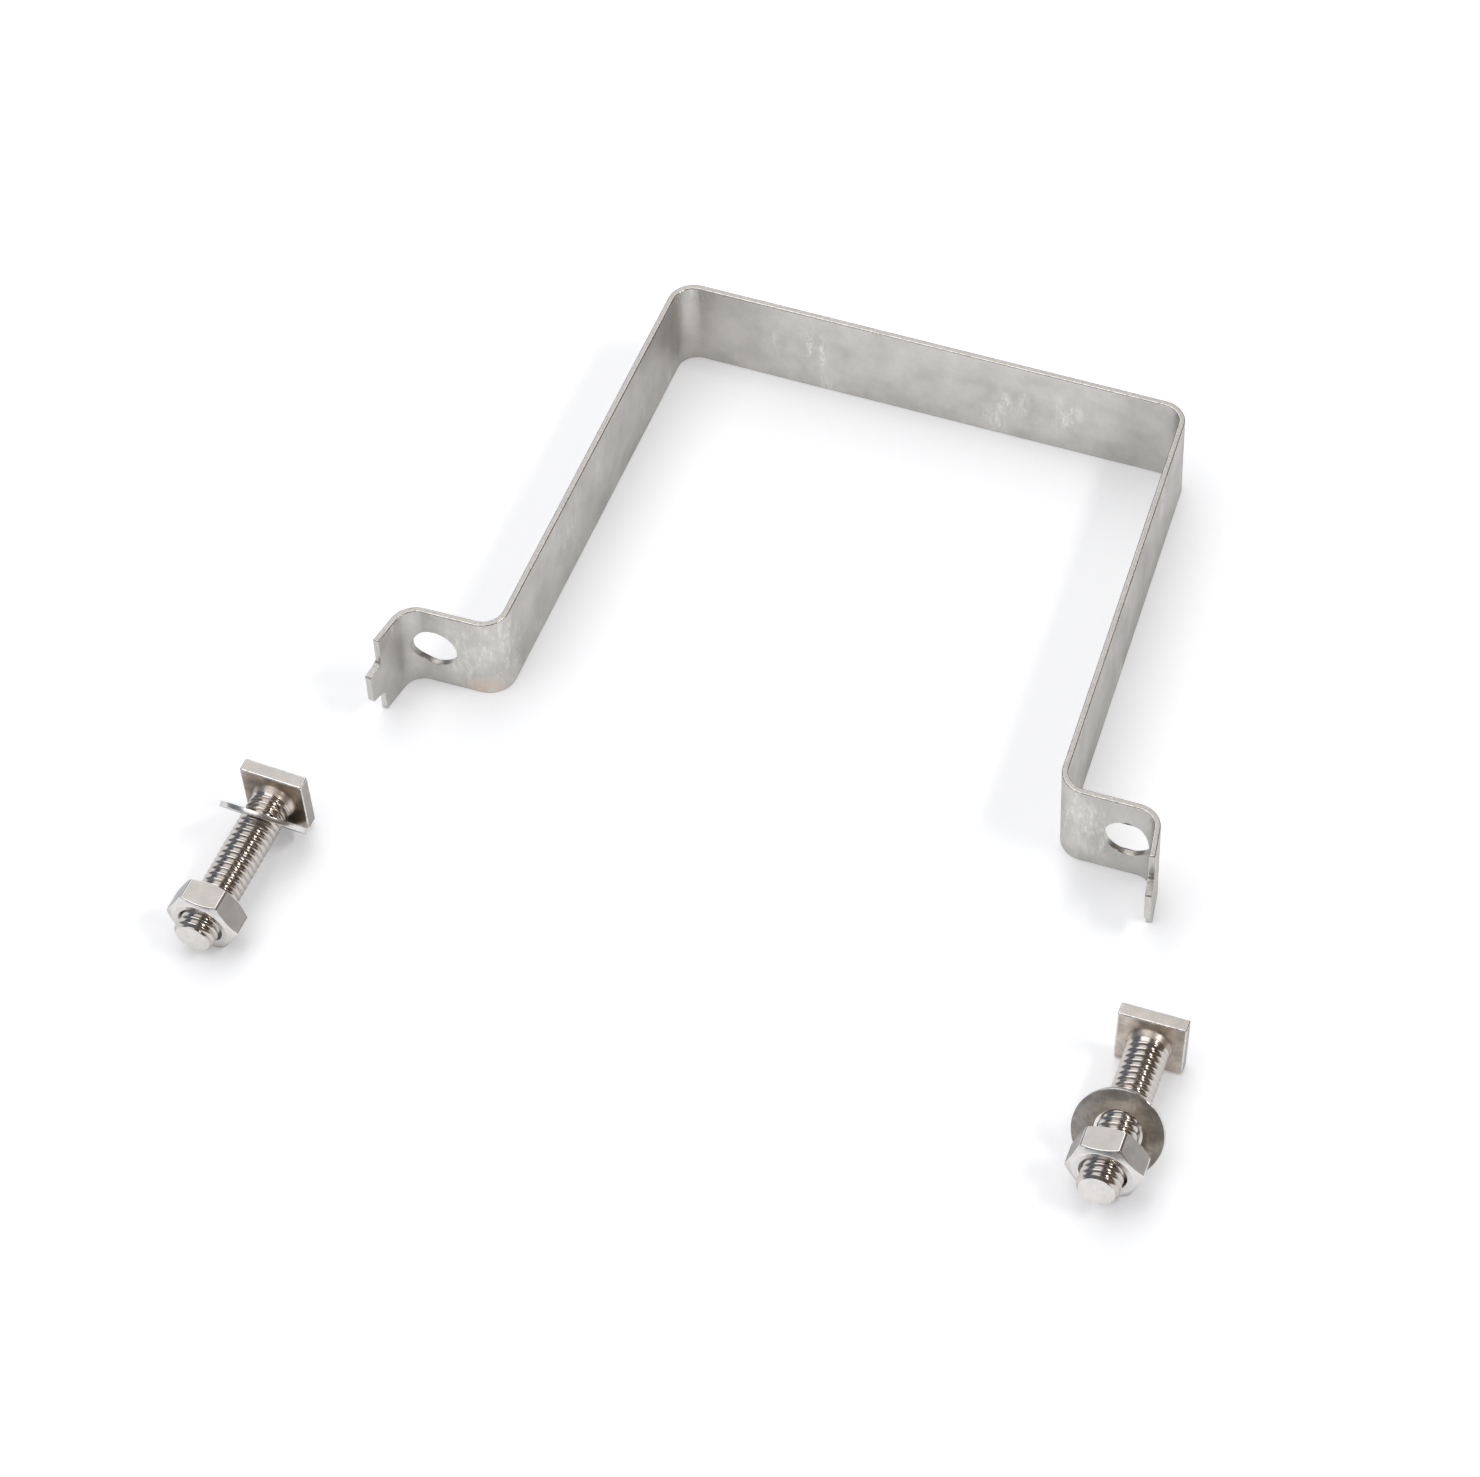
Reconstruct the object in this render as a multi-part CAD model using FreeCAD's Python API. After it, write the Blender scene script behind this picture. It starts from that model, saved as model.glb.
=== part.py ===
# Clip that holds a sign to a square post, with its two bolts, washers and nuts lying in front of it.
# The clip is one stainless strip, folded into a saddle for the post, two feet and two turned-out lugs.
# Millimetres. +X runs along the web, +Y points out of its back and +Z up across the strip. The origin
# is at the middle of the web, halfway through the strip and on the edge that the clip stands on.

import FreeCAD, Part

import math
import os

from FreeCAD import Placement, Rotation, Vector

# Strip
STRIP_WIDTH = 20.0
STRIP_THICKNESS = 1.25
BEND_RADIUS = 4.0

# Saddle, along its inner face from corner to corner, with each leg's splay in degrees
SADDLE_WIDTH = 104.4
LEFT_LEG_LENGTH = 95.4
LEFT_LEG_SPLAY_ANGLE = 0.0
RIGHT_LEG_LENGTH = 96.7
RIGHT_LEG_SPLAY_ANGLE = 3.62

# Feet, with the degrees by which their outer ends come forward, away from the web
LEFT_FOOT_LENGTH = 18.85
LEFT_FOOT_TURN_ANGLE = 1.42
RIGHT_FOOT_LENGTH = 19.2
RIGHT_FOOT_TURN_ANGLE = -0.65
FOOT_HOLE_DIAMETER = 9.0
FOOT_HOLE_FROM_LEG = 13.85

# Lugs, flared outwards in degrees, each ending in a tongue between two shoulders
LEFT_LUG_LENGTH = 9.5
LEFT_LUG_FLARE_ANGLE = 10.2
RIGHT_LUG_LENGTH = 9.95
RIGHT_LUG_FLARE_ANGLE = 9.5
TONGUE_LENGTH = 3.8
TONGUE_ROOT_WIDTH = 8.4
TONGUE_TIP_WIDTH = 6.9
TONGUE_DROP = 0.4
TONGUE_ROOT_RADIUS = 1.0
TONGUE_TIP_RADIUS = 0.4

# Bolts: the shank stands at the thread's pitch diameter, and the head is square
THREAD_DIAMETER = 7.9
THREAD_PITCH = 1.33
SHANK_LENGTH = 33.8
SHANK_END_CHAMFER = 0.6
NECK_RADIUS = 1.3
HEAD_WIDTH = 12.8
HEAD_THICKNESS = 2.8
HEAD_EDGE_CHAMFER = 0.25

# Nuts
NUT_ACROSS_FLATS = 12.8
NUT_THICKNESS = 6.0
NUT_FACE_DIAMETER = 11.4
NUT_CHAMFER_ANGLE = 30.0
NUT_BORE_CLEARANCE = 0.1
NUT_COUNTERSINK = 0.9

# Washers
WASHER_DIAMETER = 17.0
WASHER_THICKNESS = 1.0
WASHER_HOLE_OVER_THREAD = 1.1
WASHER_SEAT_GAP = 0.1

# How the two sets lie: from the hole of the foot behind to the head's bearing face, outwards and forward;
# the shank's heading and rise in degrees; the turn of head and nut about it; where the nut has stopped;
# and the play that the leaning washer has left on each side of the shank
LEFT_SET_OUT = 15.1
LEFT_SET_AHEAD = 41.9
LEFT_SHANK_HEADING_ANGLE = -92.55
LEFT_SHANK_RISE_ANGLE = -2.16
LEFT_HEAD_TURN_ANGLE = 0.71
LEFT_NUT_PLACE = 24.8
LEFT_NUT_TURN_ANGLE = 118.67
LEFT_WASHER_PLAY = 0.12

RIGHT_SET_OUT = 17.3
RIGHT_SET_AHEAD = 40.2
RIGHT_SHANK_HEADING_ANGLE = -88.25
RIGHT_SHANK_RISE_ANGLE = 2.41
RIGHT_HEAD_TURN_ANGLE = -1.58
RIGHT_NUT_PLACE = 24.1
RIGHT_NUT_TURN_ANGLE = 128.49
RIGHT_WASHER_PLAY = 0.22

# Worked out from the sizes above
PITCH_DIAMETER = THREAD_DIAMETER - 3 * math.sqrt(3) / 8 * THREAD_PITCH
SHANK_RADIUS = PITCH_DIAMETER / 2
WASHER_HOLE = THREAD_DIAMETER + WASHER_HOLE_OVER_THREAD
ACROSS_CORNERS = NUT_ACROSS_FLATS / math.cos(math.pi / 6)
INNER_FACE_Y = -STRIP_THICKNESS / 2
LEFT, RIGHT = -1, 1


def direction(degrees):
    """Unit vector in the floor plane, at an angle from +X."""
    return Vector(math.cos(math.radians(degrees)), math.sin(math.radians(degrees)), 0)


def rounded_outline(corners):
    """Closed wire through (point, radius) corners, each rounded by its own radius."""
    edges = []
    starts, ends = [], []
    for index, (corner, radius) in enumerate(corners):
        back = (corners[index - 1][0] - corner).normalize()
        ahead = (corners[(index + 1) % len(corners)][0] - corner).normalize()
        if radius == 0:
            starts.append(corner)
            ends.append(corner)
            continue
        half_angle = back.getAngle(ahead) / 2
        reach = radius / math.tan(half_angle)
        inward = (back + ahead).normalize()
        middle = corner + inward * (radius / math.sin(half_angle) - radius)
        starts.append(corner + back * reach)
        ends.append(corner + ahead * reach)
        edges.append(Part.Arc(starts[-1], middle, ends[-1]).toShape())
    for index, start in enumerate(starts):
        edges.append(Part.LineSegment(ends[index - 1], start).toShape())
    return Part.Wire(Part.__sortEdges__(edges))


def turned(outline):
    """Solid of revolution about X from (along, radius, rounding) corners."""
    corners = [(Vector(along, radius, 0), rounding) for along, radius, rounding in outline]
    face = Part.Face(rounded_outline(corners))
    return face.revolve(Vector(0, 0, 0), Vector(1, 0, 0), 360)


def inner_corners(side, leg_length, splay, foot_length, foot_turn, lug_length, flare):
    """Sharp corners of the strip's inner face, from the web's corner out to the tongue's tip."""
    leg = direction(-90 + side * splay)
    foot = direction(90 - side * (90 + foot_turn))
    lug = direction(-90 + side * flare)
    web_corner = Vector(side * SADDLE_WIDTH / 2, INNER_FACE_Y, 0)
    foot_corner = web_corner + leg * leg_length
    lug_corner = foot_corner + foot * foot_length
    return [web_corner, foot_corner, lug_corner, lug_corner + lug * (lug_length + TONGUE_LENGTH)]


def offset_corners(points, distance):
    """The same open line moved to its left by a distance, with its corners mitred."""
    runs = [(b - a).normalize() for a, b in zip(points, points[1:])]
    normals = [Vector(-run.y, run.x, 0) for run in runs]
    moved = [points[0] + normals[0] * distance]
    for point, before, after in zip(points[1:], normals, normals[1:]):
        moved.append(point + (before + after) * (distance / (1 + before.dot(after))))
    moved.append(points[-1] + normals[-1] * distance)
    return moved


def lug_end_waste(side, lug_corner, lug_length, flare):
    """What is cut from a lug's end on both sides of its tongue."""
    middle = STRIP_WIDTH / 2 - TONGUE_DROP
    tip = lug_length + TONGUE_LENGTH
    beyond = tip + STRIP_WIDTH
    corners = [
        (Vector(lug_length, 0, -STRIP_WIDTH), 0),
        (Vector(lug_length, 0, middle - TONGUE_ROOT_WIDTH / 2), TONGUE_ROOT_RADIUS),
        (Vector(tip, 0, middle - TONGUE_TIP_WIDTH / 2), TONGUE_TIP_RADIUS),
        (Vector(tip, 0, middle + TONGUE_TIP_WIDTH / 2), TONGUE_TIP_RADIUS),
        (Vector(lug_length, 0, middle + TONGUE_ROOT_WIDTH / 2), TONGUE_ROOT_RADIUS),
        (Vector(lug_length, 0, 2 * STRIP_WIDTH), 0),
        (Vector(beyond, 0, 2 * STRIP_WIDTH), 0),
        (Vector(beyond, 0, -STRIP_WIDTH), 0),
    ]
    reach = 3 * STRIP_THICKNESS
    waste = Part.Face(rounded_outline(corners)).extrude(Vector(0, 2 * reach, 0))
    waste.translate(Vector(0, -reach, 0))
    waste.Placement = Placement(lug_corner, Rotation(-90 + side * flare, 0, 0)) * waste.Placement
    return waste


def foot_hole_centre(foot_corner, lug_corner):
    """Centre of a foot's hole, on its inner face."""
    along = (lug_corner - foot_corner).normalize()
    return foot_corner + along * FOOT_HOLE_FROM_LEG + Vector(0, 0, STRIP_WIDTH / 2)


def foot_hole(foot_corner, lug_corner):
    """Round punch through a foot, square to it."""
    along = (lug_corner - foot_corner).normalize()
    square_to_foot = Vector(-along.y, along.x, 0)
    length = 4 * STRIP_WIDTH
    start = foot_hole_centre(foot_corner, lug_corner) - square_to_foot * (length / 2)
    return Part.makeCylinder(FOOT_HOLE_DIAMETER / 2, length, start, square_to_foot)


def post_clip(left, right):
    """The folded strip, with a hole in each foot and a tongue at each lug's end."""
    inner = left[::-1] + right
    outer = offset_corners(inner, STRIP_THICKNESS)
    wide = BEND_RADIUS + STRIP_THICKNESS
    inner_radii = [0, BEND_RADIUS, wide, BEND_RADIUS, BEND_RADIUS, wide, BEND_RADIUS, 0]
    outer_radii = [0, wide, BEND_RADIUS, wide, wide, BEND_RADIUS, wide, 0]
    corners = list(zip(inner, inner_radii)) + list(zip(outer, outer_radii))[::-1]
    strip = Part.Face(rounded_outline(corners)).extrude(Vector(0, 0, STRIP_WIDTH))
    for corners in (left, right):
        strip = strip.cut(foot_hole(corners[1], corners[2]))
    strip = strip.cut(lug_end_waste(LEFT, left[2], LEFT_LUG_LENGTH, LEFT_LUG_FLARE_ANGLE))
    strip = strip.cut(lug_end_waste(RIGHT, right[2], RIGHT_LUG_LENGTH, RIGHT_LUG_FLARE_ANGLE))
    return strip


def bolt(head_turn):
    """Square-headed bolt along +X, with the head's bearing face at x = 0."""
    core = SHANK_RADIUS + 2 * NECK_RADIUS
    shank = turned([
        (-HEAD_THICKNESS / 2, 0, 0),
        (-HEAD_THICKNESS / 2, core, 0),
        (0, core, 0),
        (0, SHANK_RADIUS, NECK_RADIUS),
        (SHANK_LENGTH - SHANK_END_CHAMFER, SHANK_RADIUS, 0),
        (SHANK_LENGTH, SHANK_RADIUS - SHANK_END_CHAMFER, 0),
        (SHANK_LENGTH, 0, 0),
    ])
    lowest = Vector(-HEAD_THICKNESS, -HEAD_WIDTH / 2, -HEAD_WIDTH / 2)
    head = Part.makeBox(HEAD_THICKNESS, HEAD_WIDTH, HEAD_WIDTH, lowest)
    head = head.makeChamfer(HEAD_EDGE_CHAMFER, head.Edges)
    head.rotate(Vector(0, 0, 0), Vector(1, 0, 0), head_turn)
    return head.fuse(shank).removeSplitter()


def nut(place, turn):
    """Hexagon nut on +X, chamfered at both faces, with its near face at x = place."""
    bore = SHANK_RADIUS + NUT_BORE_CLEARANCE
    face, corner = NUT_FACE_DIAMETER / 2, ACROSS_CORNERS / 2
    chamfer = (corner - face) * math.tan(math.radians(NUT_CHAMFER_ANGLE))
    angles = [turn + 60 * step for step in range(7)]
    rim = [Vector(0, corner * direction(a).x, corner * direction(a).y) for a in angles]
    hexagon = Part.Face(Part.makePolygon(rim)).extrude(Vector(NUT_THICKNESS, 0, 0))
    barrel = turned([
        (0, bore + NUT_COUNTERSINK, 0),
        (0, face, 0),
        (chamfer, corner, 0),
        (NUT_THICKNESS - chamfer, corner, 0),
        (NUT_THICKNESS, face, 0),
        (NUT_THICKNESS, bore + NUT_COUNTERSINK, 0),
        (NUT_THICKNESS - NUT_COUNTERSINK, bore, 0),
        (NUT_COUNTERSINK, bore, 0),
    ])
    body = hexagon.common(barrel)
    body.translate(Vector(place, 0, 0))
    return body


def washer_lean(play):
    """Degrees that a washer leans over the shank when its hole has this much play left on each side."""
    width_needed = PITCH_DIAMETER + 2 * play
    diagonal = math.hypot(WASHER_HOLE, WASHER_THICKNESS)
    return math.degrees(math.acos(width_needed / diagonal) - math.atan(WASHER_THICKNESS / WASHER_HOLE))


def washer(centre, lean):
    """Plain washer centred on +X, leaning over the shank: a positive lean turns its face upwards."""
    outer, hole = WASHER_DIAMETER / 2, WASHER_HOLE / 2
    near, far = -WASHER_THICKNESS / 2, WASHER_THICKNESS / 2
    ring = turned([(near, hole, 0), (near, outer, 0), (far, outer, 0), (far, hole, 0)])
    ring.rotate(Vector(0, 0, 0), Vector(0, 1, 0), -lean)
    ring.translate(Vector(centre, 0, 0))
    return ring


def distance_from_edge(edge_radius, lean):
    """From a face to the centre of a washer that leans on the lowest point of the face's edge."""
    angle = math.radians(lean)
    thickness_share = (WASHER_THICKNESS / 2 + WASHER_SEAT_GAP) / math.cos(angle)
    return edge_radius * math.tan(angle) + thickness_share


def laid_down(pieces, heading, rise, place):
    """Pieces of one set, turned as they lie and let down together until the lowest meets the floor."""
    for piece in pieces:
        piece.Placement = Placement(place, Rotation(heading, -rise, 0)) * piece.Placement
    lowest = min(piece.optimalBoundingBox(False).ZMin for piece in pieces)
    for piece in pieces:
        piece.translate(Vector(0, 0, -lowest))
    return pieces


def left_set(hole):
    """Bolt, washer and nut in front of the left foot: the washer has slid down against the head."""
    lean = washer_lean(LEFT_WASHER_PLAY)
    head_reach = HEAD_WIDTH / math.sqrt(2) * math.sin(math.radians(45 + abs(LEFT_HEAD_TURN_ANGLE)))
    centre = distance_from_edge(head_reach, lean)
    pieces = [
        bolt(LEFT_HEAD_TURN_ANGLE),
        washer(centre, -lean),
        nut(LEFT_NUT_PLACE, LEFT_NUT_TURN_ANGLE),
    ]
    place = Vector(hole.x - LEFT_SET_OUT, hole.y - LEFT_SET_AHEAD, 0)
    return laid_down(pieces, LEFT_SHANK_HEADING_ANGLE, LEFT_SHANK_RISE_ANGLE, place)


def right_set(hole):
    """Bolt, washer and nut in front of the right foot: the washer has slid down against the nut."""
    lean = washer_lean(RIGHT_WASHER_PLAY)
    centre = RIGHT_NUT_PLACE - distance_from_edge(NUT_FACE_DIAMETER / 2, lean)
    pieces = [
        bolt(RIGHT_HEAD_TURN_ANGLE),
        washer(centre, lean),
        nut(RIGHT_NUT_PLACE, RIGHT_NUT_TURN_ANGLE),
    ]
    place = Vector(hole.x + RIGHT_SET_OUT, hole.y - RIGHT_SET_AHEAD, 0)
    return laid_down(pieces, RIGHT_SHANK_HEADING_ANGLE, RIGHT_SHANK_RISE_ANGLE, place)


def main():
    left = inner_corners(
        LEFT, LEFT_LEG_LENGTH, LEFT_LEG_SPLAY_ANGLE,
        LEFT_FOOT_LENGTH, LEFT_FOOT_TURN_ANGLE, LEFT_LUG_LENGTH, LEFT_LUG_FLARE_ANGLE,
    )
    right = inner_corners(
        RIGHT, RIGHT_LEG_LENGTH, RIGHT_LEG_SPLAY_ANGLE,
        RIGHT_FOOT_LENGTH, RIGHT_FOOT_TURN_ANGLE, RIGHT_LUG_LENGTH, RIGHT_LUG_FLARE_ANGLE,
    )
    parts = {"clip": post_clip(left, right)}
    set_names = ("bolt", "washer", "nut")
    for name, piece in zip(set_names, left_set(foot_hole_centre(left[1], left[2]))):
        parts["left_" + name] = piece
    for name, piece in zip(set_names, right_set(foot_hole_centre(right[1], right[2]))):
        parts["right_" + name] = piece

    os.makedirs("parts", exist_ok=True)
    for name, shape in parts.items():
        shape.exportStep("parts/" + name + ".step")
        print(name, round(shape.Volume, 1), "mm3", shape.isValid())


main()
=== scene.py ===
import math

import bmesh
import bpy

from bpy.props import FloatProperty, FloatVectorProperty, PointerProperty
from bpy.types import Operator, Panel, PropertyGroup
from mathutils import Matrix, Vector


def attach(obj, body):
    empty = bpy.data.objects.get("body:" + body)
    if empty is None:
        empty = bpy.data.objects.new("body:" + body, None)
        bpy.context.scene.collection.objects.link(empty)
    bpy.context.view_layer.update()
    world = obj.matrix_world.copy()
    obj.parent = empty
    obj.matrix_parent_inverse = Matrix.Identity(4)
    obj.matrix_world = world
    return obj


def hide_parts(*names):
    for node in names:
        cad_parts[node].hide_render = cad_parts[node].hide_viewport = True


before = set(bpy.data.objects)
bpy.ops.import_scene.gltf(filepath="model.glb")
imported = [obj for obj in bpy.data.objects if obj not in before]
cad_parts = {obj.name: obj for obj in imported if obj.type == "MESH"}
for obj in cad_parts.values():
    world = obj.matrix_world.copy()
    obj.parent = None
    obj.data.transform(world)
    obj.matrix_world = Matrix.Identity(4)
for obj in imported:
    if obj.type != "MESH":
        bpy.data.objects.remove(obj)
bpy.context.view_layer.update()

MM = 0.001

bl_info = {
    "name": "Sign post clamp",
    "version": (1, 0, 0),
    "blender": (4, 5, 0),
    "location": "View3D > Sidebar > Clamp",
    "description": "A folded post clip with its bolts, nuts and washers, on a pale floor",
    "category": "Add Mesh",
}

# Faces along one pitch and round one turn of the thread
RIDGE_STEPS = 28
TURN_STEPS = 60
# A higher value makes the thread's crests narrower and its roots wider
CREST_SHARPNESS = 1.15
# Faces across a rounded edge
ROUNDING_STEPS = 3
# Cosine above which two directions count as one
ALIGNED = 0.99
# Distances below which corners count as one, in the solids and in the thread
SOLID_WELD, THREAD_WELD = 0.5e-6, 2e-6
# Where the legs turn into the feet, and the bloom low on the left one
FOOT_BENDS = ((-0.0535, -0.0955, 0.011), (0.0600, -0.0965, 0.011))
RUST_PLACE = (-0.0560, -0.0960, 0.0010)
# Order of a bolt's materials, the last a painted highlight on its rounded edges. A nut has the first two
# as well
SATIN_FINISH, FACED_FINISH, THREAD_FINISH, FORGED_FINISH, EDGE_HIGHLIGHT_FINISH = range(5)
# Order of the clip's materials
MILL_FINISH, SHEARED_FINISH = range(2)
# Order of a washer's materials
TUMBLED_FINISH, RIM_FINISH = range(2)
# Level of the light that steel mirrors at its rims, where most metals mirror all of it
RIM_TINT = 0.75
# Name, glow, size and place of each lamp, and the tint of all
LAMPS = (
    ("left panel", 1.42, (5.4, 1.9), (-0.78, 0.80, 2.27)),
    ("right lamp", 14.0, (0.90, 0.32), (1.60, 0.04, 1.94)),
)
LAMP_TINT = (1.0, 0.985, 0.965)
# Where along X the room's left side ends and its right side begins
ROOM_LEFT_END, ROOM_RIGHT_START = -0.5, 0.4
FLOOR_HALF_SIDE = 4.0
CAMERA_PLACE = (0.22434, -0.63094, 0.72868)
CAMERA_RIGHT = (0.9351, 0.3528, -0.0346)
CAMERA_UP = (-0.2547, 0.7364, 0.6268)
FRAME_WIDTH_MM = 36.0


def linear(digits):
    """Linear colour from sRGB hex digits."""
    channels = [int(digits[i:i + 2], 16) / 255 for i in (0, 2, 4)]
    return [c / 12.92 if c <= 0.04045 else ((c + 0.055) / 1.055) ** 2.4 for c in channels]


def length(name, description, millimetres):
    """A length that a user can change, given in millimetres."""
    return FloatProperty(
        name=name, description=description, default=millimetres * MM, min=0, unit="LENGTH",
    )


def level(name, description, value):
    """A level of light that a user can change."""
    return FloatProperty(name=name, description=description, default=value, min=0)


def colour(name, description, digits):
    """A colour that a user can change, given as sRGB hex digits."""
    return FloatVectorProperty(
        name=name, description=description, default=linear(digits), size=3, min=0, max=1, subtype="COLOR",
    )


class ClampSizes(PropertyGroup):
    """Sizes of the detail that the plain solids don't carry."""

    strip_rounding: length("Strip edge", "Rounding of the strip's long sheared edges", 0.27)
    nut_rounding: length("Nut corner", "Rounding of the nuts' long corners", 0.34)
    washer_rounding: length("Washer edge", "Rounding of the washers' edges", 0.12)
    head_width: length("Head width", "Across the flats of the square head", 12.8)
    head_thickness: length("Head thickness", "Along the shank", 2.8)
    head_rounding: length("Head edge", "Rounding of the head's edges", 0.28)
    shank_length: length("Shank length", "From the head's bearing face to the end", 33.8)
    thread_diameter: length("Thread diameter", "Over the crests", 7.9)
    thread_depth: length("Thread depth", "From crest to root", 0.62)
    thread_pitch: length("Thread pitch", "From crest to crest", 1.33)
    neck_diameter: length("Neck diameter", "Under the head, where the neck is widest", 8.7)
    neck_length: length("Neck length", "From the head to where the thread begins", 1.5)
    end_diameter: length("End diameter", "Of the flat end, inside its chamfer", 6.8)


class ClampFinish(PropertyGroup):
    """Colours of the finishes."""

    strip: colour("Strip", "Mill-finished stainless strip", "D8D6D1")
    strip_edge: colour("Strip edge", "Sheared edge of the strip", "C0BDB8")
    # Painted highlight: the strip's rounded edges are coloured lighter than its sheared edge, to stand in
    # for glints
    strip_corner_highlight: colour("Strip corner", "Burnished corners of the strip", "DAD7D2")
    thread: colour("Threads", "Rolled bright stainless", "D4CEC8")
    fastener: colour("Heads and nuts", "Satin stainless", "ACA8A3")
    faced: colour("Faced ends and chamfers", "Turned stainless", "EBE8E4")
    forged: colour("Necks and bearing faces", "Stainless as forged", "D2C7BC")
    washer: colour("Washers", "Tumbled stainless", "D2CAC0")
    # Painted highlight: the rounded edges of heads, washers and nuts are coloured lighter than their
    # flats, to stand in for glints
    edge_highlight: colour("Rubbed edges", "Stainless rubbed bright", "F2F0ED")
    rust: colour("Rust bloom", "Faint bloom on the strip", "ECD3C3")


class ClampStudio(PropertyGroup):
    """Floor, lamps and lens."""

    floor: colour("Floor", "Matt white floor", "FBFBFC")
    floor_glow: level("Floor glow", "Lift of the floor as seen", 0.225)
    floor_sheen: level("Floor sheen", "Lift of the floor as mirrored", 0.11)
    room: level("Room", "Level of the light from all round", 0.38)
    air: colour("Air", "Light from all round", "F4F8FF")
    room_left: colour("Room, left", "What metal mirrors of the room's left side", "6E757F")
    room_right: colour("Room, right", "What metal mirrors of the room's right side", "65594F")
    lens: FloatProperty(
        name="Lens", description="Focal length for a 36 mm frame", default=120.1, min=1, unit="CAMERA",
    )


def add(tree, kind, inputs=None, **settings):
    """Adds a shader node. Its inputs are values or the sockets that feed them."""
    node = tree.nodes.new("ShaderNode" + kind)
    for name, value in settings.items():
        setattr(node, name, value)
    for name, value in (inputs or {}).items():
        if isinstance(value, bpy.types.NodeSocket):
            tree.links.new(value, node.inputs[name])
        else:
            node.inputs[name].default_value = value
    return node


def blank_material(name):
    """A material with an empty tree, and that tree."""
    material = bpy.data.materials.new(name)
    material.use_nodes = True
    material.node_tree.nodes.clear()
    return material, material.node_tree


def pattern(tree, size, stretch=(1, 1, 1), detail=4.0, roughness=0.55):
    """Noise whose patches are as large as size, in metres, and longer along an axis by its stretch."""
    place = add(tree, "TexCoord").outputs["Object"]
    scale = [1 / (size * along) for along in stretch]
    mapped = add(tree, "Mapping", {"Vector": place, "Scale": scale})
    noise = add(tree, "TexNoise", {
        "Vector": mapped.outputs["Vector"], "Scale": 1.0, "Detail": detail, "Roughness": roughness,
    })
    return noise.outputs["Fac"]


def spread(tree, value, low, high, to_low=0.0, to_high=1.0):
    """The part of a value between low and high, moved to a new range."""
    return add(tree, "MapRange", {
        "Value": value, "From Min": low, "From Max": high, "To Min": to_low, "To Max": to_high,
    }).outputs["Result"]


def blended(tree, share, first, second):
    """One colour blended into another."""
    return add(tree, "Mix", {0: share, 6: first, 7: second}, data_type="RGBA").outputs[2]


def shade(rgb, factor):
    """A colour made lighter or darker, as RGBA."""
    return [min(1, channel * factor) for channel in rgb] + [1]


def steel(tree, base, roughness, bump, bump_depth):
    """Finishes a material as bare metal. Steel brightens less at its rims than other metals."""
    relief = add(tree, "Bump", {"Height": bump, "Distance": bump_depth, "Strength": 1.0})
    surface = add(tree, "BsdfPrincipled", {
        "Base Color": base, "Metallic": 1.0, "Roughness": roughness, "Normal": relief.outputs["Normal"],
        "Specular Tint": shade((1, 1, 1), RIM_TINT),
    })
    add(tree, "OutputMaterial", {"Surface": surface.outputs["BSDF"]})


def near(tree, place, reach):
    """A mask that is 1 at a place and fades to 0 at its reach, both in metres."""
    here = add(tree, "TexCoord").outputs["Object"]
    apart = add(tree, "VectorMath", {0: here, 1: place}, operation="DISTANCE").outputs["Value"]
    return spread(tree, apart, 0.4 * reach, reach, 1.0, 0.0)


def product(tree, first, second):
    """Two masks multiplied."""
    return add(tree, "Math", {0: first, 1: second}, operation="MULTIPLY").outputs[0]


def mill_stainless(finish):
    """Stainless strip as rolled: soft grey, faintly streaked, clouded and scuffed by handling.

    Pressing scuffed the bends at the feet, and the left one has a rust bloom.
    """
    material, tree = blank_material("mill_finished_stainless")
    clouds = spread(tree, pattern(tree, 8 * MM, detail=3.0), 0.34, 0.68)
    # Real grain and streaks are finer than 0.1 mm. They are drawn coarser, so that they show
    grain = spread(tree, pattern(tree, 1.1 * MM, detail=6.0, roughness=0.72), 0.34, 0.68)
    streaks = pattern(tree, 0.35 * MM, (40, 40, 1), detail=3.0)
    scuffed = spread(tree, pattern(tree, 9 * MM, (1, 1, 2), detail=2.0), 0.55, 0.68)
    pressed = spread(tree, pattern(tree, 4 * MM, (1, 1, 3), detail=3.0), 0.38, 0.56)
    for bend in FOOT_BENDS:
        at_bend = product(tree, pressed, near(tree, bend, 15 * MM))
        scuffed = add(tree, "Math", {0: scuffed, 1: at_bend}, operation="MAXIMUM").outputs[0]
    fine_scuffs = spread(tree, pattern(tree, 1.2 * MM, (1, 1, 3), detail=8.0, roughness=0.82), 0.48, 0.61)
    broken = spread(tree, fine_scuffs, 0.0, 1.0, 0.60, 0.20)
    bloom = product(tree, near(tree, RUST_PLACE, 4.6 * MM), broken)
    tone = blended(tree, clouds, shade(finish.strip, 0.84), shade(finish.strip, 1.0))
    tone = blended(tree, product(tree, grain, clouds), tone, shade(finish.strip, 1.08))
    tone = blended(tree, product(tree, scuffed, fine_scuffs), tone, shade(finish.strip, 1.34))
    tone = blended(tree, bloom, tone, shade(finish.rust, 1))
    roughness = spread(tree, grain, 0.0, 1.0, 0.34, 0.44)
    steel(tree, tone, roughness, streaks, 0.004 * MM)
    return material


def sheared_stainless(finish):
    """The strip's slit edge: matt and a little warmer, with fine torn flecks."""
    material, tree = blank_material("sheared_stainless_edge")
    flecks = spread(tree, pattern(tree, 0.5 * MM, detail=5.0, roughness=0.7), 0.35, 0.7)
    tone = blended(tree, flecks, shade(finish.strip_edge, 0.78), shade(finish.strip_edge, 1.12))
    steel(tree, tone, spread(tree, flecks, 0.0, 1.0, 0.42, 0.34), flecks, 0.012 * MM)
    return material


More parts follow.
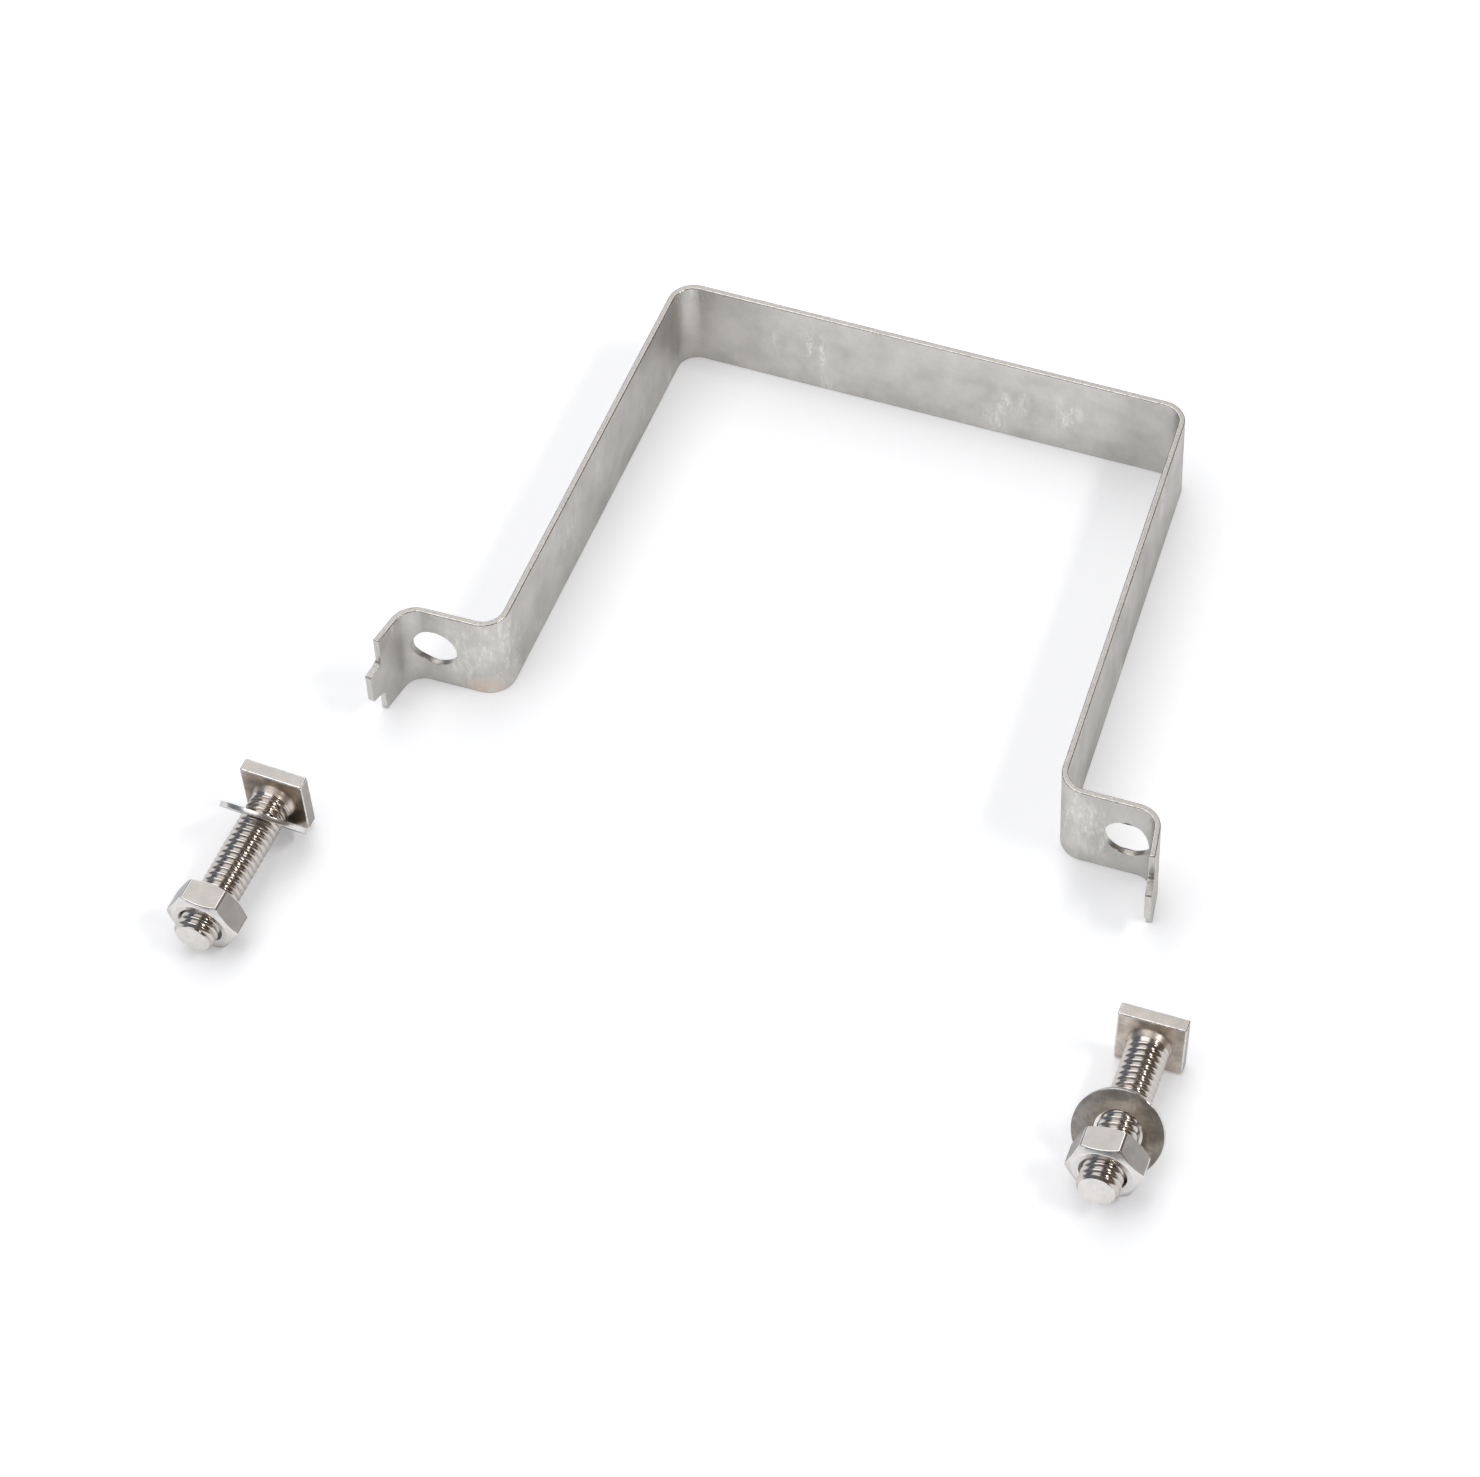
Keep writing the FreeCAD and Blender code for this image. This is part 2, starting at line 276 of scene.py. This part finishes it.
def rolled_stainless(finish):
    """Stainless burnished by the thread rolls: bright and softly rippled, so that its ridges glint."""
    material, tree = blank_material("rolled_stainless_thread")
    ripple = pattern(tree, 1.4 * MM, detail=2.0)
    tone = blended(tree, ripple, shade(finish.thread, 0.92), shade(finish.thread, 1.06))
    roughness = spread(tree, ripple, 0.3, 0.7, 0.15, 0.22)
    steel(tree, tone, roughness, ripple, 0.003 * MM)
    return material


def fastener_stainless(name, rgb, smoothest):
    """Cold-formed stainless: even on the flats, with small nicks from the barrel."""
    material, tree = blank_material(name)
    cloud = spread(tree, pattern(tree, 2.5 * MM, detail=5.0, roughness=0.6), 0.35, 0.68)
    nicks = spread(tree, pattern(tree, 0.45 * MM, detail=5.0, roughness=0.7), 0.66, 0.76)
    tone = blended(tree, cloud, shade(rgb, 0.94), shade(rgb, 1.04))
    tone = blended(tree, nicks, tone, shade(rgb, 0.70))
    roughness = spread(tree, cloud, 0.0, 1.0, smoothest + 0.06, smoothest)
    steel(tree, tone, roughness, nicks, 0.004 * MM)
    return material


def fastener_finishes(finish):
    """The two finishes that bolts and nuts share: satin flats, and lighter faced ends and chamfers."""
    wanted = {"satin_drawn_stainless": (finish.fastener, 0.20), "faced_stainless": (finish.faced, 0.24)}
    return [
        bpy.data.materials.get(name) or fastener_stainless(name, rgb, smoothest)
        for name, (rgb, smoothest) in wanted.items()
    ]


def forged_stainless(finish):
    """The neck and bearing face as they left the heading die: dull, brownish and unevenly clouded."""
    material, tree = blank_material("forged_stainless_face")
    cloud = spread(tree, pattern(tree, 3 * MM, detail=6.0, roughness=0.65), 0.33, 0.68)
    tone = blended(tree, cloud, shade(finish.forged, 0.72), shade(finish.forged, 1.30))
    steel(tree, tone, spread(tree, cloud, 0.0, 1.0, 0.46, 0.36), cloud, 0.010 * MM)
    return material


def tumbled_stainless(finish):
    """Stamped and tumbled stainless: dull grey, clouded, brighter where the barrel has rubbed it."""
    material, tree = blank_material("tumbled_stainless")
    cloud = spread(tree, pattern(tree, 5 * MM, detail=5.0, roughness=0.6), 0.36, 0.66)
    # The barrel leaves a grain of about 0.1 mm. It is drawn coarser, so that it shows
    grain = spread(tree, pattern(tree, 0.6 * MM, detail=4.0, roughness=0.7), 0.35, 0.65)
    tone = blended(tree, cloud, shade(finish.washer, 0.66), shade(finish.washer, 1.16))
    tone = blended(tree, product(tree, grain, cloud), tone, shade(finish.washer, 1.40))
    steel(tree, tone, spread(tree, cloud, 0.0, 1.0, 0.38, 0.28), cloud, 0.008 * MM)
    return material


def highlight_edge_stainless(name, rgb):
    """Rounded edges coloured lighter as a painted highlight, broken by small dark nicks."""
    if name in bpy.data.materials:
        return bpy.data.materials[name]
    material, tree = blank_material(name)
    nicks = spread(tree, pattern(tree, 0.6 * MM, detail=5.0, roughness=0.7), 0.48, 0.66)
    tone = blended(tree, nicks, shade(rgb, 1), shade(rgb, 0.6))
    steel(tree, tone, spread(tree, nicks, 0.0, 1.0, 0.20, 0.34), nicks, 0.01 * MM)
    return material


def highlighted_corners(finish):
    """The rounded edges of heads and washers, coloured lighter as a painted highlight."""
    return highlight_edge_stainless("painted_highlight_corner", finish.edge_highlight)


def piece_from(mesh_maker, name, node, materials):
    """A named piece that stands for a CAD node. mesh_maker fills its bmesh."""
    mesh = bpy.data.meshes.new(name)
    bm = bmesh.new()
    mesh_maker(bm)
    bm.to_mesh(mesh)
    bm.free()
    piece = bpy.data.objects.new(name, mesh)
    bpy.context.scene.collection.objects.link(piece)
    for material in materials:
        mesh.materials.append(material)
    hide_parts(node)
    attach(piece, "root")
    return piece


def take_solid(bm, node):
    """Fills bm with a CAD node's mesh, its triangles merged into whole faces."""
    bm.from_mesh(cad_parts[node].data)
    bmesh.ops.remove_doubles(bm, verts=bm.verts, dist=SOLID_WELD)
    bmesh.ops.dissolve_limit(
        bm, angle_limit=math.radians(0.5), verts=bm.verts, edges=bm.edges, use_dissolve_boundaries=False,
    )
    for face in bm.faces:
        face.smooth = True


def weigh_edges(bm, from_angle, small, is_main):
    """Main edges get the full rounding, and the others sharper than an angle a small share of it."""
    layer = bm.edges.layers.float.new("bevel_weight_edge")
    bm.normal_update()
    for edge in bm.edges:
        if edge.calc_face_angle(0) > math.radians(from_angle):
            edge[layer] = 1.0 if is_main(edge) else small


def is_corner(edge, axis):
    """Whether an edge is one of the long corners between two flats of a nut."""
    along = edge.verts[1].co - edge.verts[0].co
    return along.length > MM and abs(along.normalized().dot(axis)) > ALIGNED


def is_slit(edge):
    """Whether an edge runs along one of the strip's two slit sides."""
    return any(abs(face.normal.z) > ALIGNED for face in edge.link_faces)


def round_edges(piece, width):
    """Rounds the edges by their weights, in the last material, a painted highlight, and keeps the flats
    flat to the eye.
    """
    bevel = piece.modifiers.new("Rounded edges", "BEVEL")
    bevel.material = len(piece.data.materials) - 1
    bevel.width = width
    bevel.segments = ROUNDING_STEPS
    bevel.limit_method = "WEIGHT"
    bevel.use_clamp_overlap = False
    weigh = piece.modifiers.new("Flat faces", "WEIGHTED_NORMAL")
    weigh.keep_sharp = True


def mean_normal(mesh, way):
    """Mean of the face normals that point one way."""
    alike = [face.normal for face in mesh.polygons if face.normal.dot(way) > 0.9999]
    return sum(alike, Vector()).normalized()


def head_place(node):
    """Matrix of a bolt's place.

    Its origin is the middle of the head's outer face. X runs down the shank, Y and Z across the flats.
    """
    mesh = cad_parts[node].data
    areas, corners = {}, {}
    for face in mesh.polygons:
        way = tuple(round(part, 2) for part in face.normal)
        areas[way] = areas.get(way, 0) + face.area
        corners.setdefault(way, []).extend(mesh.vertices[i].co for i in face.vertices)
    ways = sorted(areas, key=areas.get, reverse=True)
    normals = {way: Vector(way).normalized() for way in ways}
    back = ways[0]
    x = -mean_normal(mesh, normals[back])
    side = next(way for way in ways if abs(normals[way].dot(x)) < 0.05)
    y = mean_normal(mesh, normals[side])
    y = (y - x * y.dot(x)).normalized()
    z = x.cross(y)
    points = corners[back]
    low = Vector([min(p.dot(axis) for p in points) for axis in (x, y, z)])
    high = Vector([max(p.dot(axis) for p in points) for axis in (x, y, z)])
    middle = (low + high) / 2
    place = Matrix((x, y, z)).transposed()
    return Matrix.Translation(place @ middle) @ place.to_4x4()


def head(bm, sizes):
    """Square head with its bearing face at x = 0."""
    shank_faces = set(bm.faces)
    made = bmesh.ops.create_cube(bm, size=1.0)["verts"]
    bmesh.ops.scale(bm, vec=(sizes.head_thickness, sizes.head_width, sizes.head_width), verts=made)
    bmesh.ops.translate(bm, vec=(-sizes.head_thickness / 2, 0, 0), verts=made)
    edges = list({edge for vert in made for edge in vert.link_edges})
    bmesh.ops.bevel(
        bm, geom=edges, offset=sizes.head_rounding, segments=ROUNDING_STEPS, profile=0.5,
        affect="EDGES", material=-1,
    )
    bm.normal_update()
    for face in set(bm.faces) - shank_faces:
        if face.normal.x > ALIGNED:
            face.material_index = FORGED_FINISH
        elif max(abs(part) for part in face.normal) > ALIGNED:
            face.material_index = SATIN_FINISH
        else:
            # The rounded edges take the lighter edge colour, a painted highlight
            face.material_index = EDGE_HIGHLIGHT_FINISH


def shank_radius(along, radius, sizes):
    """Radius of the shank's surface, held by the neck at one end and by the chamfer at the other."""
    crest = sizes.thread_diameter / 2
    past_neck = along - sizes.neck_length
    if past_neck < 0:
        rise = min(1.0, -past_neck / sizes.neck_length)
        neck = crest + (sizes.neck_diameter / 2 - crest) * (3 - 2 * rise) * rise ** 2
    else:
        neck = crest - sizes.thread_depth * past_neck / sizes.thread_pitch
    chamfer = sizes.end_diameter / 2 + max(0.0, sizes.shank_length - along)
    return min(max(radius, neck), chamfer)


def shank(bm, sizes):
    """Threaded shank: one pitch of the thread's outline, spun along +X, then trimmed at both ends."""
    pitch, crest = sizes.thread_pitch, sizes.thread_diameter / 2
    root = crest - sizes.thread_depth
    start = -2 * pitch
    verts = []
    for step in range(RIDGE_STEPS + 1):
        share = step / RIDGE_STEPS
        height = sizes.thread_depth * abs(math.cos(math.pi * share)) ** CREST_SHARPNESS
        verts.append(bm.verts.new((start + share * pitch, root + height, 0)))
    edges = [bm.edges.new(pair) for pair in zip(verts, verts[1:])]
    bmesh.ops.spin(
        bm, geom=verts + edges, cent=(0, 0, 0), axis=(1, 0, 0), angle=2 * math.pi,
        steps=TURN_STEPS, dvec=(pitch / TURN_STEPS, 0, 0), use_merge=False, use_duplicate=False,
    )
    first_turn = list(bm.verts) + list(bm.edges) + list(bm.faces)
    turns = math.ceil((sizes.shank_length - start) / pitch) + 1
    for turn in range(1, turns):
        copied = bmesh.ops.duplicate(bm, geom=first_turn)["geom"]
        moved = [item for item in copied if isinstance(item, bmesh.types.BMVert)]
        bmesh.ops.translate(bm, vec=(turn * pitch, 0, 0), verts=moved)
    bmesh.ops.remove_doubles(bm, verts=bm.verts, dist=THREAD_WELD)
    for vert in bm.verts:
        radius = math.hypot(vert.co.y, vert.co.z)
        held = shank_radius(vert.co.x, radius, sizes) / radius
        vert.co.y *= held
        vert.co.z *= held
    for face in bm.faces:
        threaded = face.calc_center_median().x > sizes.neck_length
        face.material_index = THREAD_FINISH if threaded else FORGED_FINISH
    inside_head = -sizes.head_thickness / 2
    for along, way in ((inside_head, -1), (sizes.shank_length, 1)):
        cut = bmesh.ops.bisect_plane(
            bm, geom=list(bm.verts) + list(bm.edges) + list(bm.faces), dist=1e-7,
            plane_co=(along, 0, 0), plane_no=(way, 0, 0), clear_outer=True,
        )["geom_cut"]
        rim = [item for item in cut if isinstance(item, bmesh.types.BMEdge) and item.is_boundary]
        bmesh.ops.edgeloop_fill(bm, edges=rim, mat_nr=FACED_FINISH)


def bolt_maker(place, sizes):
    """Returns a function that fills a bmesh with one bolt, laid at its place."""
    def fill(bm):
        shank(bm, sizes)
        bmesh.ops.recalc_face_normals(bm, faces=bm.faces)
        head(bm, sizes)
        bmesh.ops.translate(bm, vec=(sizes.head_thickness, 0, 0), verts=bm.verts)
        bmesh.ops.transform(bm, matrix=place, verts=bm.verts)
        for face in bm.faces:
            face.smooth = True
    return fill


class CLAMP_OT_clip(Operator):
    """Gives the folded clip its rounded edges, mill finish and sheared edges"""

    bl_idname = "clamp.clip"
    bl_label = "Folded clip"

    def execute(self, context):
        sizes, finish = context.scene.clamp_sizes, context.scene.clamp_finish

        def fill(bm):
            take_solid(bm, "clip")
            for face in bm.faces:
                slit = abs(face.normal.z) > 0.7
                face.material_index = SHEARED_FINISH if slit else MILL_FINISH
            weigh_edges(bm, from_angle=40, small=0.25, is_main=is_slit)

        # The rounded edges take a lighter colour with dark nicks, a painted highlight
        strip_edge_highlight = highlight_edge_stainless("painted_highlight_strip_edge", finish.strip_corner_highlight)
        materials = [mill_stainless(finish), sheared_stainless(finish), strip_edge_highlight]
        piece = piece_from(fill, "folded_clip", "clip", materials)
        round_edges(piece, sizes.strip_rounding)
        return {"FINISHED"}


class CLAMP_OT_bolts(Operator):
    """Makes both square-headed bolts, with their necks and threads"""

    bl_idname = "clamp.bolts"
    bl_label = "Bolts"

    def execute(self, context):
        sizes, finish = context.scene.clamp_sizes, context.scene.clamp_finish
        materials = [
            *fastener_finishes(finish), rolled_stainless(finish),
            forged_stainless(finish), highlighted_corners(finish),
        ]
        for side in ("left", "right"):
            node = side + "_bolt"
            fill = bolt_maker(head_place(node), sizes)
            piece = piece_from(fill, side + "_square_head_bolt", node, materials)
            weigh = piece.modifiers.new("Flat faces", "WEIGHTED_NORMAL")
            weigh.keep_sharp = True
        return {"FINISHED"}


class CLAMP_OT_nuts(Operator):
    """Rounds the edges of both nuts and gives them their bright finish"""

    bl_idname = "clamp.nuts"
    bl_label = "Nuts"

    def execute(self, context):
        sizes, finish = context.scene.clamp_sizes, context.scene.clamp_finish
        # The long corners take the lighter edge colour, a painted highlight
        highlighted_nut_corners = fastener_stainless("painted_highlight_nut_corner", finish.edge_highlight, 0.16)
        for side in ("left", "right"):
            node = side + "_nut"
            axis = head_place(side + "_bolt").col[0].to_3d()

            def fill(bm):
                take_solid(bm, node)
                for face in bm.faces:
                    # Ends and chamfers face along the axis more than this, countersinks less
                    faced = abs(face.normal.dot(axis)) > 0.75
                    face.material_index = FACED_FINISH if faced else SATIN_FINISH
                weigh_edges(bm, from_angle=20, small=0.32, is_main=lambda edge: is_corner(edge, axis))

            materials = [*fastener_finishes(finish), highlighted_nut_corners]
            piece = piece_from(fill, side + "_hexagon_nut", node, materials)
            round_edges(piece, sizes.nut_rounding)
        return {"FINISHED"}


class CLAMP_OT_washers(Operator):
    """Rounds the edges of both washers and gives them their tumbled finish"""

    bl_idname = "clamp.washers"
    bl_label = "Washers"

    def execute(self, context):
        sizes, finish = context.scene.clamp_sizes, context.scene.clamp_finish
        cut_edge = fastener_finishes(finish)[FACED_FINISH]
        materials = [tumbled_stainless(finish), cut_edge, highlighted_corners(finish)]
        for side in ("left", "right"):
            node = side + "_washer"

            def fill(bm):
                take_solid(bm, node)
                bm.normal_update()
                axis = max(bm.faces, key=bmesh.types.BMFace.calc_area).normal.copy()
                for face in bm.faces:
                    on_rim = abs(face.normal.dot(axis)) < 0.5
                    face.material_index = RIM_FINISH if on_rim else TUMBLED_FINISH
                weigh_edges(bm, from_angle=50, small=1.0, is_main=lambda edge: True)

            piece = piece_from(fill, side + "_plain_washer", node, materials)
            round_edges(piece, sizes.washer_rounding)
        return {"FINISHED"}


def soft_lamp(name, glow, size, place):
    """A soft lamp, tilted sideways to the object, with its first side along Y.

    Metal mirrors its glow, where 1 is white.
    """
    lamp = bpy.data.lights.new(name, "AREA")
    lamp.shape = "RECTANGLE"
    lamp.size, lamp.size_y = size
    lamp.energy = glow * math.pi * size[0] * size[1]
    lamp.color = LAMP_TINT
    holder = bpy.data.objects.new(name, lamp)
    holder.location = place
    aim = Vector((-place[0], 0.0, -place[2]))
    holder.rotation_euler = aim.to_track_quat("-Z", "Y").to_euler()
    holder.visible_camera = False
    bpy.context.scene.collection.objects.link(holder)


def white_floor(studio):
    """A matt white floor. It takes the object's shadow, and looks white to the eye and in the metal."""
    mesh = bpy.data.meshes.new("floor")
    bm = bmesh.new()
    bmesh.ops.create_grid(bm, x_segments=1, y_segments=1, size=FLOOR_HALF_SIDE)
    bm.to_mesh(mesh)
    bm.free()
    floor = bpy.data.objects.new("floor", mesh)
    bpy.context.scene.collection.objects.link(floor)
    material, tree = blank_material("matt_white_floor")
    ray = add(tree, "LightPath").outputs
    lift = spread(tree, ray["Is Camera Ray"], 0.0, 1.0, 0.0, studio.floor_glow)
    sheen = spread(tree, ray["Is Glossy Ray"], 0.0, 1.0, 0.0, studio.floor_sheen)
    lift = add(tree, "Math", {0: lift, 1: sheen}, operation="MAXIMUM").outputs[0]
    matt = add(tree, "BsdfDiffuse", {"Color": shade(studio.floor, 1), "Roughness": 0.0})
    glow = add(tree, "Emission", {"Color": shade(studio.floor, 1), "Strength": lift})
    both = add(tree, "AddShader", {0: matt.outputs["BSDF"], 1: glow.outputs["Emission"]})
    add(tree, "OutputMaterial", {"Surface": both.outputs["Shader"]})
    mesh.materials.append(material)


def pale_room(studio):
    """Even light from all round. Metal mirrors it dim, bluish on the left and brownish on the right."""
    world = bpy.data.worlds.new("pale room")
    bpy.context.scene.world = world
    world.use_nodes = True
    tree = world.node_tree
    tree.nodes.clear()
    way = add(tree, "TexCoord").outputs["Generated"]
    sideways = add(tree, "SeparateXYZ", {"Vector": way}).outputs["X"]
    rightness = spread(tree, sideways, ROOM_LEFT_END, ROOM_RIGHT_START)
    mirrored = blended(tree, rightness, shade(studio.room_left, 1), shade(studio.room_right, 1))
    ray = add(tree, "LightPath").outputs
    air = blended(tree, ray["Is Glossy Ray"], shade(studio.air, studio.room), mirrored)
    air = blended(tree, ray["Is Camera Ray"], air, (1, 1, 1, 1))
    backdrop = add(tree, "Background", {"Color": air})
    add(tree, "OutputWorld", {"Surface": backdrop.outputs["Background"]})


def front_camera(studio):
    """Looks down at the object from the front, a little to its right."""
    right, up = Vector(CAMERA_RIGHT), Vector(CAMERA_UP)
    camera = bpy.data.cameras.new("camera")
    camera.lens = studio.lens
    camera.sensor_width = FRAME_WIDTH_MM
    holder = bpy.data.objects.new("camera", camera)
    turn = Matrix((right, up, right.cross(up))).transposed()
    holder.matrix_world = Matrix.Translation(CAMERA_PLACE) @ turn.to_4x4()
    bpy.context.scene.collection.objects.link(holder)
    bpy.context.scene.camera = holder


class CLAMP_OT_stage(Operator):
    """Lays the floor, hangs the lamps and sets the camera"""

    bl_idname = "clamp.stage"
    bl_label = "Stage"

    def execute(self, context):
        studio = context.scene.clamp_studio
        context.scene.view_settings.view_transform = "Standard"
        white_floor(studio)
        pale_room(studio)
        for lamp in LAMPS:
            soft_lamp(*lamp)
        front_camera(studio)
        return {"FINISHED"}


class CLAMP_PT_panel(Panel):
    """Lists the pieces, their sizes and finishes, and the stage"""

    bl_idname = "CLAMP_PT_panel"
    bl_label = "Sign post clamp"
    bl_space_type = "VIEW_3D"
    bl_region_type = "UI"
    bl_category = "Clamp"

    def draw(self, context):
        scene = context.scene
        for operator in OPERATORS:
            self.layout.operator(operator.bl_idname)
        for group in (scene.clamp_sizes, scene.clamp_finish, scene.clamp_studio):
            box = self.layout.box()
            for name in group.__annotations__:
                box.prop(group, name)


OPERATORS = (CLAMP_OT_clip, CLAMP_OT_bolts, CLAMP_OT_nuts, CLAMP_OT_washers, CLAMP_OT_stage)
GROUPS = {"clamp_sizes": ClampSizes, "clamp_finish": ClampFinish, "clamp_studio": ClampStudio}


def register():
    for kind in (*GROUPS.values(), *OPERATORS, CLAMP_PT_panel):
        bpy.utils.register_class(kind)
    for name, group in GROUPS.items():
        setattr(bpy.types.Scene, name, PointerProperty(type=group))


def unregister():
    for name in GROUPS:
        delattr(bpy.types.Scene, name)
    for kind in (CLAMP_PT_panel, *OPERATORS, *GROUPS.values()):
        bpy.utils.unregister_class(kind)


def main():
    register()
    bpy.ops.clamp.clip()
    bpy.ops.clamp.bolts()
    bpy.ops.clamp.nuts()
    bpy.ops.clamp.washers()
    bpy.ops.clamp.stage()


if __name__ == "__main__":
    main()
